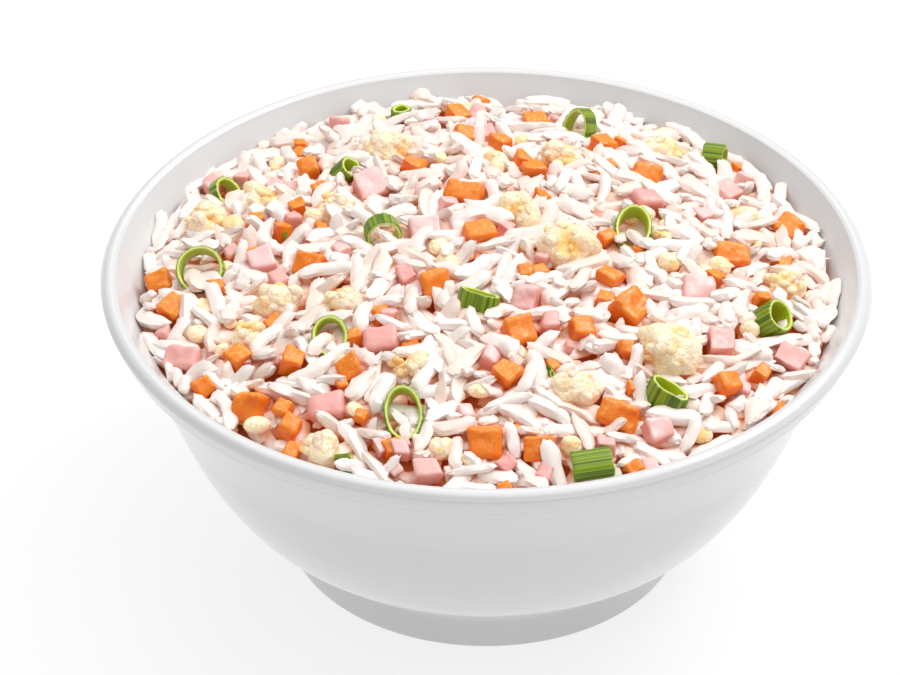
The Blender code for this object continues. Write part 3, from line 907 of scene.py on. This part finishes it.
def best_rest(rng, ground, covered, across, back, length, width):
    """Of a few turns, the one in which a grain lies lowest: its support, slope and turn, and its length.

    Where no turn of the whole grain fits, a broken one is tried.
    """
    best = None
    for attempt in range(2 * TURNS_TRIED):
        if attempt == TURNS_TRIED:
            if best is not None:
                break
            length = min(length, rng.uniform(*BROKEN_LENGTHS))
        turn = rng.uniform(0, math.pi)
        level, slope, on_topping, reach = resting_grain(ground, covered, across, back, turn,
                                                        REST_SHARES * length, width)
        if reach > END_REACH or abs(slope) > STEEPEST:
            continue
        if on_topping > CLEAR_OF_TOPPINGS and rng.random() > LYING_OVER_TOPPING:
            continue
        if best is None or level < best[0]:
            best = (level, slope, turn)
    return best, length


def drop_grains(rng, ground, goal, covered):
    """Drops grains one by one where the heap is still low."""
    draws = np.random.default_rng(SEED)
    grains = []
    full = 0
    wanted = goal.copy()
    while len(grains) < GRAIN_LIMIT and full < PATIENCE:
        lack, across, back = lowest_spot(draws, ground, wanted)
        if lack < ROOM_FOR_GRAIN:
            full += 1
            continue
        full = 0
        broken = rng.random() < BROKEN_SHARE
        length = rng.uniform(*(BROKEN_LENGTHS if broken else GRAIN_LENGTHS))
        width = rng.uniform(*GRAIN_WIDTHS) * (BROKEN_SLIMNESS if broken else 1.0)
        height = width * rng.uniform(*GRAIN_FLATNESS)
        best, length = best_rest(rng, ground, covered, across, back, length, width)
        row, column = map_index((across, back))
        if best is None or best[0] + height / 2 - goal[row, column] > ROOM_ABOVE:
            wanted[row - 1:row + 2, column - 1:column + 2] -= LOWERED_WHERE_FULL
            continue
        level, slope, turn = best
        sink = SINK
        if rng.random() < LEANING_SHARE and math.hypot(across, back) < HEAP_RADIUS - length:
            slope = rng.choice((-1, 1)) * rng.uniform(*LEANING_SLOPES)
            sink = 2 * SINK
        middle = level + height / 2 - sink
        roll = either_way(rng, GRAIN_ROLL)
        grains.append(Grain(across, back, middle, turn, slope, length, width, height, roll))
        stamp_grain(ground, grains[-1])
    return grains


def stamp_grain(ground, grain):
    """Raises the height map to the top of a grain."""
    half = grain.length / 2 + 1
    rows = np.arange(map_index(grain.across - half), map_index(grain.across + half) + 1)
    columns = np.arange(map_index(grain.back - half), map_index(grain.back + half) + 1)
    places = map_places()
    x = places[rows][:, None] - grain.across
    y = places[columns][None, :] - grain.back
    along = x * math.cos(grain.turn) + y * math.sin(grain.turn)
    aside = -x * math.sin(grain.turn) + y * math.cos(grain.turn)
    fullness = 1 - np.abs(2 * along / grain.length) ** 3
    room = fullness - (2 * aside / grain.width) ** 2
    top = grain.middle + grain.slope * along + grain.height / 2 * np.sqrt(np.maximum(room, 0))
    window = ground[rows[0]:rows[-1] + 1, columns[0]:columns[-1] + 1]
    np.copyto(window, np.maximum(window, top), where=room > 0)


def kept_off_glaze(points, wall):
    """The points, those that would come out of the bowl's wall drawn back into it."""
    radii, heights = wall
    limit = np.interp(points[:, 2], heights, radii) + WALL_BITE
    outward = np.hypot(points[:, 0], points[:, 1])
    share = np.minimum(limit / outward, 1.0)
    return points * np.column_stack((share, share, np.ones(len(points))))


def grain_shapes(rng, grains, goal, wall):
    """The grains' meshes, and for each point how deep it lies under the heap's surface."""
    templates = [grain_template(rng) for number in range(GRAIN_TEMPLATES)]
    shapes = []
    depths = []
    for grain in grains:
        points, faces = rng.choice(templates)
        forward = Vector((math.cos(grain.turn), math.sin(grain.turn), grain.slope)).normalized()
        aside = Vector((0, 0, 1)).cross(forward).normalized()
        upward = forward.cross(aside)
        lay = Matrix((forward, aside, upward)).transposed() @ Matrix.Rotation(grain.roll, 3, "X")
        placed = (points * (grain.length, grain.width, grain.height)) @ np.array(lay).T
        placed = kept_off_glaze(placed + (grain.across, grain.back, grain.middle), wall)
        shapes.append((placed, faces))
        goal_here = goal[map_index(placed[:, 0]), map_index(placed[:, 1])]
        depths.append(goal_here - placed[:, 2])
    return shapes, np.concatenate(depths)


def joined_grains(name, shapes, depths, look):
    """One object from many grains with their depths."""
    points = np.vstack([shape[0] for shape in shapes])
    firsts = np.cumsum([0] + [len(shape[0]) for shape in shapes[:-1]])
    faces = np.vstack([shape[1] + first for shape, first in zip(shapes, firsts)])
    piece = make_piece(name, [(points, faces.tolist())], look, {"depth": depths})
    piece.data.set_sharp_from_angle(angle=math.radians(GRAIN_EDGE_DEGREES))


def core_shape(wall):
    """The core of the heap: a dome with relief, closed below along the bowl's inner wall."""
    edge_height = EDGE_HEIGHT - CORE_DEPTH - CORE_STEP_AT_EDGE
    below = [(radius - CORE_GAP, height + CORE_GAP) for radius, height in wall.T if height < edge_height]
    dome = [(HEAP_RADIUS * ring / CORE_RINGS, 0.0) for ring in reversed(range(CORE_RINGS))]
    points, faces = turned(below + dome, CORE_SIDES)
    dome_starts = 1 + (len(below) - 1) * CORE_SIDES
    for point in points[dome_starts:-1]:
        relief = CORE_RELIEF * noise.noise(Vector((point[0], point[1], 9)) / CORE_RELIEF_WIDTH)
        point[2] = heap_height(point[0], point[1]) - CORE_DEPTH + relief
    points[-1][2] = heap_height(0, 0) - CORE_DEPTH
    # Each face starts at its second corner, which decides along which diagonal it is halved
    return points, [face[1:] + face[:1] for face in faces]


# Materials

def island_value(tree):
    """A random value that each loose piece of an object has as its own."""
    return tree.nodes.new("ShaderNodeNewGeometry").outputs["Random Per Island"]


def set_inputs(node, values):
    """Sets a shader node's inputs by their names."""
    for name, value in values.items():
        node.inputs[name].default_value = value


def new_look(name, roughness, coat=0.0, subsurface=0.0, glow=(1.0, 0.6, 0.4), depth_metres=0.002):
    """A material with its principled shader. Returns it with its node tree and shader."""
    look = bpy.data.materials.new(name)
    look.use_nodes = True
    tree = look.node_tree
    shader = tree.nodes["Principled BSDF"]
    set_inputs(shader, {"Roughness": roughness, "Coat Weight": coat, "Coat Roughness": COAT_ROUGHNESS,
                        "Subsurface Weight": subsurface, "Subsurface Radius": glow,
                        "Subsurface Scale": depth_metres})
    return look, tree, shader


def noise_value(tree, width, detail=3.0):
    """Noise over the object, with waves of that width in millimetres."""
    place = tree.nodes.new("ShaderNodeTexCoord")
    texture = tree.nodes.new("ShaderNodeTexNoise")
    set_inputs(texture, {"Scale": 1 / (width * METRES), "Detail": detail})
    tree.links.new(place.outputs["Object"], texture.inputs["Vector"])
    return texture.outputs["Fac"]


def ramp(tree, value, stops):
    """A colour ramp over a value. Stops are (position, colour)."""
    node = tree.nodes.new("ShaderNodeValToRGB")
    elements = node.color_ramp.elements
    while len(elements) < len(stops):
        elements.new(0.5)
    for element, (position, colour) in zip(elements, stops):
        element.position = position
        element.color = (*colour, 1.0)
    tree.links.new(value, node.inputs["Fac"])
    return node.outputs["Color"]


def blend(tree, share, first, second):
    """A mix of two colours."""
    node = tree.nodes.new("ShaderNodeMix")
    node.data_type = "RGBA"
    for socket, source in (("Factor", share), ("A", first), ("B", second)):
        inputs = [entry for entry in node.inputs if entry.name == socket and entry.enabled]
        if isinstance(source, bpy.types.NodeSocket):
            tree.links.new(source, inputs[0])
        elif socket == "Factor":
            inputs[0].default_value = source
        else:
            inputs[0].default_value = (*source, 1.0)
    return next(entry for entry in node.outputs if entry.enabled)


def stretched(tree, value, low, high):
    """A value stretched so that low gives 0 and high gives 1."""
    node = tree.nodes.new("ShaderNodeMapRange")
    set_inputs(node, {"From Min": low, "From Max": high})
    tree.links.new(value, node.inputs["Value"])
    return node.outputs["Result"]


def mark_value(tree, mark, low, high):
    """A point's mark, stretched so that low gives 0 and high gives 1."""
    attribute = tree.nodes.new("ShaderNodeAttribute")
    attribute.attribute_name = mark
    return stretched(tree, attribute.outputs["Fac"], low, high)


def upward_value(tree, low, high):
    """How far the surface faces up: 0 where its normal's height is low and 1 where it is high."""
    geometry = tree.nodes.new("ShaderNodeNewGeometry")
    parts = tree.nodes.new("ShaderNodeSeparateXYZ")
    tree.links.new(geometry.outputs["Normal"], parts.inputs["Vector"])
    return stretched(tree, parts.outputs["Z"], low, high)


def bump(tree, shader, value, distance):
    """Raises the surface's looks by a value, by so many millimetres."""
    node = tree.nodes.new("ShaderNodeBump")
    set_inputs(node, {"Distance": distance * METRES})
    tree.links.new(value, node.inputs["Height"])
    tree.links.new(node.outputs["Normal"], shader.inputs["Normal"])


def porcelain_look():
    """Glazed white porcelain."""
    look, tree, shader = new_look("porcelain", 0.2, coat=0.3)
    pale = tuple(channel * 0.985 for channel in PORCELAIN)
    colour = ramp(tree, noise_value(tree, 30.0), [(0.35, pale), (0.65, PORCELAIN)])
    tree.links.new(colour, shader.inputs["Base Color"])
    return look


def rice_look():
    """Cooked rice: milky, each grain a little different. Deeper grains are warmer, partly the oil's own
    colour and partly painted warm shade in the gaps, and the grains carry a faint painted glow that is
    warmest deep down.
    """
    look, tree, shader = new_look("rice", 0.38, coat=0.15, subsurface=0.08, glow=(1.0, 0.92, 0.86),
                                  depth_metres=0.001)
    grain = ramp(tree, island_value(tree), [(0.0, RICE_WARM), (0.45, RICE_PALE)])
    deep = mark_value(tree, "depth", 1.0, 4.6)
    # Deeper grains mixed towards orange: partly oil colour, partly painted warm shade in the gaps
    tree.links.new(blend(tree, deep, grain, RICE_DEEP_OIL_AND_SHADE), shader.inputs["Base Color"])
    # Painted glow: emission that lightens the grains' shade, warmer where they lie deep
    tree.links.new(blend(tree, deep, RICE_PAINTED_GLOW, RICE_DEEP_PAINTED_GLOW), shader.inputs["Emission Color"])
    set_inputs(shader, {"Emission Strength": 1.0})
    bump(tree, shader, noise_value(tree, 1.1), 0.12)
    return look


def core_look():
    """The oily rice deep in the heap."""
    look, tree, shader = new_look("rice_core", 0.5, subsurface=0.2)
    darker = tuple(channel * 0.6 for channel in CORE_COLOUR)
    colour = ramp(tree, noise_value(tree, 3.0), [(0.35, darker), (0.65, CORE_COLOUR)])
    tree.links.new(colour, shader.inputs["Base Color"])
    return look


def carrot_look():
    """Cooked carrot, its tops painted lighter than its sides as painted light and shade, with painted
    glints as bright specks on the tops.
    """
    look, tree, shader = new_look("carrot", 0.36, coat=0.12, subsurface=0.2, glow=(1.0, 0.5, 0.1))
    # Tops: lighter, with bright specks as painted glints
    top = ramp(tree, noise_value(tree, 0.9), [(0.54, CARROT_LIGHT), (0.72, CARROT_PAINTED_GLINT)])
    side = ramp(tree, noise_value(tree, 4.0), [(0.35, CARROT_SHADED_SIDE), (0.7, CARROT_LIGHT)])
    # Painted light and shade: faces that look up are lighter, the sides darker
    colour = blend(tree, upward_value(tree, 0.45, 0.95), side, top)
    tree.links.new(colour, shader.inputs["Base Color"])
    bump(tree, shader, noise_value(tree, 0.6), 0.14)
    return look


def ham_look():
    """Cooked ham, with painted shade on its sides and painted light on its tops."""
    look, tree, shader = new_look("ham", 0.4, coat=0.25, subsurface=0.3)
    side = ramp(tree, noise_value(tree, 5.0), [(0.3, HAM_SHADED_SIDE), (0.7, HAM_LIGHT)])
    top = ramp(tree, island_value(tree), [(0.2, HAM_LIGHT), (0.8, HAM_LIT_TOP)])
    # Painted light and shade: faces that look up are paler, the sides deeper pink
    colour = blend(tree, upward_value(tree, 0.1, 0.8), side, top)
    tree.links.new(colour, shader.inputs["Base Color"])
    bump(tree, shader, noise_value(tree, 0.9), 0.1)
    return look


def egg_look():
    """Scrambled egg: cream on its curds, golden painted shade in its creases, golden flecks at random and a
    faint painted glow.
    """
    look, tree, shader = new_look("egg", 0.5, coat=0.1, subsurface=0.4, glow=(1.0, 0.75, 0.5))
    raised = mark_value(tree, "raised", -1.4, 0.8)
    # Painted shade: creases between the curds golden, raised curds cream
    curd = ramp(tree, raised, [(0.1, EGG_GOLD_FLECK_AND_SHADE), (0.7, EGG_CREAM)])
    fleck = ramp(tree, noise_value(tree, 1.3), [(0.28, BLACK), (0.46, WHITE)])
    tree.links.new(blend(tree, fleck, EGG_GOLD_FLECK_AND_SHADE, curd), shader.inputs["Base Color"])
    # Painted glow: faint warm emission over the egg
    set_inputs(shader, {"Emission Color": (*EGG_PAINTED_GLOW, 1.0), "Emission Strength": 1.0})
    bump(tree, shader, noise_value(tree, 1.1), 0.8)
    return look


def onion_look():
    """Spring onion: dark green skin outside, painted shade in the grooves between its ribs, pale flesh at
    the cut.
    """
    look, tree, shader = new_look("spring_onion", 0.36, coat=0.12)
    skin = mark_value(tree, "skin", 0.0, 1.0)
    # Painted shade: skin darker in the grooves, green on the ribs
    ribbed = ramp(tree, mark_value(tree, "rib", -0.4, 0.4), [(0.2, ONION_GROOVE_SHADE), (0.75, ONION_GREEN)])
    stops = [(0.05, ONION_BRIGHT), (0.3, ONION_PALE), (0.6, ONION_PALE), (0.8, ONION_GREEN)]
    flesh = ramp(tree, skin, stops)
    outside = mark_value(tree, "skin", 0.6, 0.95)
    tree.links.new(blend(tree, outside, flesh, ribbed), shader.inputs["Base Color"])
    return look


# The studio

def make_floor():
    """A plain white floor."""
    mesh = bpy.data.meshes.new("floor")
    reach = FLOOR_REACH_METRES
    edge = [(-reach, -reach, 0), (reach, -reach, 0), (reach, reach, 0), (-reach, reach, 0)]
    mesh.from_pydata(edge, [], [(0, 1, 2, 3)])
    look = bpy.data.materials.new("floor")
    look.use_nodes = True
    set_inputs(look.node_tree.nodes["Principled BSDF"], {
        "Base Color": (*FLOOR_WHITE, 1.0), "Roughness": 0.9, "Specular IOR Level": 0.1,
        "Emission Color": (*WHITE, 1.0), "Emission Strength": FLOOR_GLOW})
    mesh.materials.append(look)
    floor = bpy.data.objects.new("floor", mesh)
    bpy.context.scene.collection.objects.link(floor)


def aimed(thing, place, aim):
    """Puts a lamp or camera at a place and points it at the aim, in metres."""
    thing.location = place
    thing.rotation_euler = (Vector(aim) - Vector(place)).to_track_quat("-Z", "Y").to_euler()


def add_lamp(name, place, size, watts):
    """A square soft lamp that faces the food."""
    light = bpy.data.lights.new(name, "AREA")
    light.size = size
    light.energy = watts
    lamp = bpy.data.objects.new(name, light)
    bpy.context.scene.collection.objects.link(lamp)
    aimed(lamp, place, LAMP_AIM_METRES)


def make_studio():
    """A pale surround, a wide lamp overhead, a smaller one from the right and the camera."""
    scene = bpy.context.scene
    world = bpy.data.worlds.new("studio")
    world.use_nodes = True
    set_inputs(world.node_tree.nodes["Background"], {"Color": (*WHITE, 1.0), "Strength": SURROUND})
    scene.world = world
    add_lamp("overhead", *OVERHEAD_LAMP)
    add_lamp("key", *KEY_LAMP)
    camera = bpy.data.objects.new("camera", bpy.data.cameras.new("camera"))
    camera.data.lens = CAMERA_LENS
    camera.data.sensor_width = CAMERA_SENSOR
    scene.collection.objects.link(camera)
    aimed(camera, CAMERA_PLACE_METRES, CAMERA_AIM_METRES)
    scene.camera = camera
    scene.view_settings.view_transform = "Standard"


def corners(box):
    """A box's two corners as plain lists."""
    return [[float(value) for value in corner] for corner in box]


def make_bowl():
    """The porcelain bowl. Gives its outline."""
    profile = rounded_outline(bowl_profile(), PROFILE_STEPS)
    bowl = make_piece("porcelain_bowl", [turned(profile, BOWL_SIDES)], porcelain_look())
    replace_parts(bowl, "bowl")
    return profile


def make_toppings():
    """The toppings. Gives the shapes of the scraps and those of all larger toppings."""
    carrots = dice_shapes("carrot", CARROT_BITS + strewn("carrot", CARROT_SCRAPS), CARROT_LAYERS)
    hams = dice_shapes("ham", HAM_BITS + strewn("ham", HAM_SCRAPS), HAM_LAYERS)
    eggs, raised = egg_shapes(EGG_BITS + strewn("egg", EGG_SCRAPS))
    onions, onion_marks = onion_shapes()
    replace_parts(make_piece("carrot_dice", carrots, carrot_look()), *node_names("carrot"))
    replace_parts(make_piece("ham_dice", hams, ham_look()), *node_names("ham"))
    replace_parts(make_piece("egg_curds", eggs, egg_look(), {"raised": raised}), *node_names("egg"))
    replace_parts(make_piece("onion_slices", onions, onion_look(), onion_marks),
                *node_names("onion"))
    scraps = []
    larger = []
    for shapes, (count, least, most) in ((carrots, CARROT_SCRAPS), (hams, HAM_SCRAPS), (eggs, EGG_SCRAPS)):
        scraps += shapes[-count:]
        larger += shapes[:-count]
    return scraps, larger + onions


def make_rice(profile, scraps, larger):
    """The rice: its core, the bed of grains on it and the loose grains on top."""
    rng = random.Random(SEED)
    wall = inner_wall(profile)
    ground, goal = starting_maps(wall)
    stamp_shapes(ground, scraps)
    covered = stamp_shapes(ground, larger)
    look = rice_look()
    bed = bed_grains(rng, ground, goal)
    joined_grains("rice_bed", *grain_shapes(rng, bed, goal, wall), look)
    grains = drop_grains(rng, ground, goal, covered)
    joined_grains("rice_grains", *grain_shapes(rng, grains, goal, wall), look)
    core = make_piece("rice_core", [core_shape(wall)], core_look())
    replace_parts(core, "rice")


def main():
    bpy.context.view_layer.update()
    profile = make_bowl()
    scraps, larger = make_toppings()
    make_rice(profile, scraps, larger)
    make_floor()
    make_studio()


main()
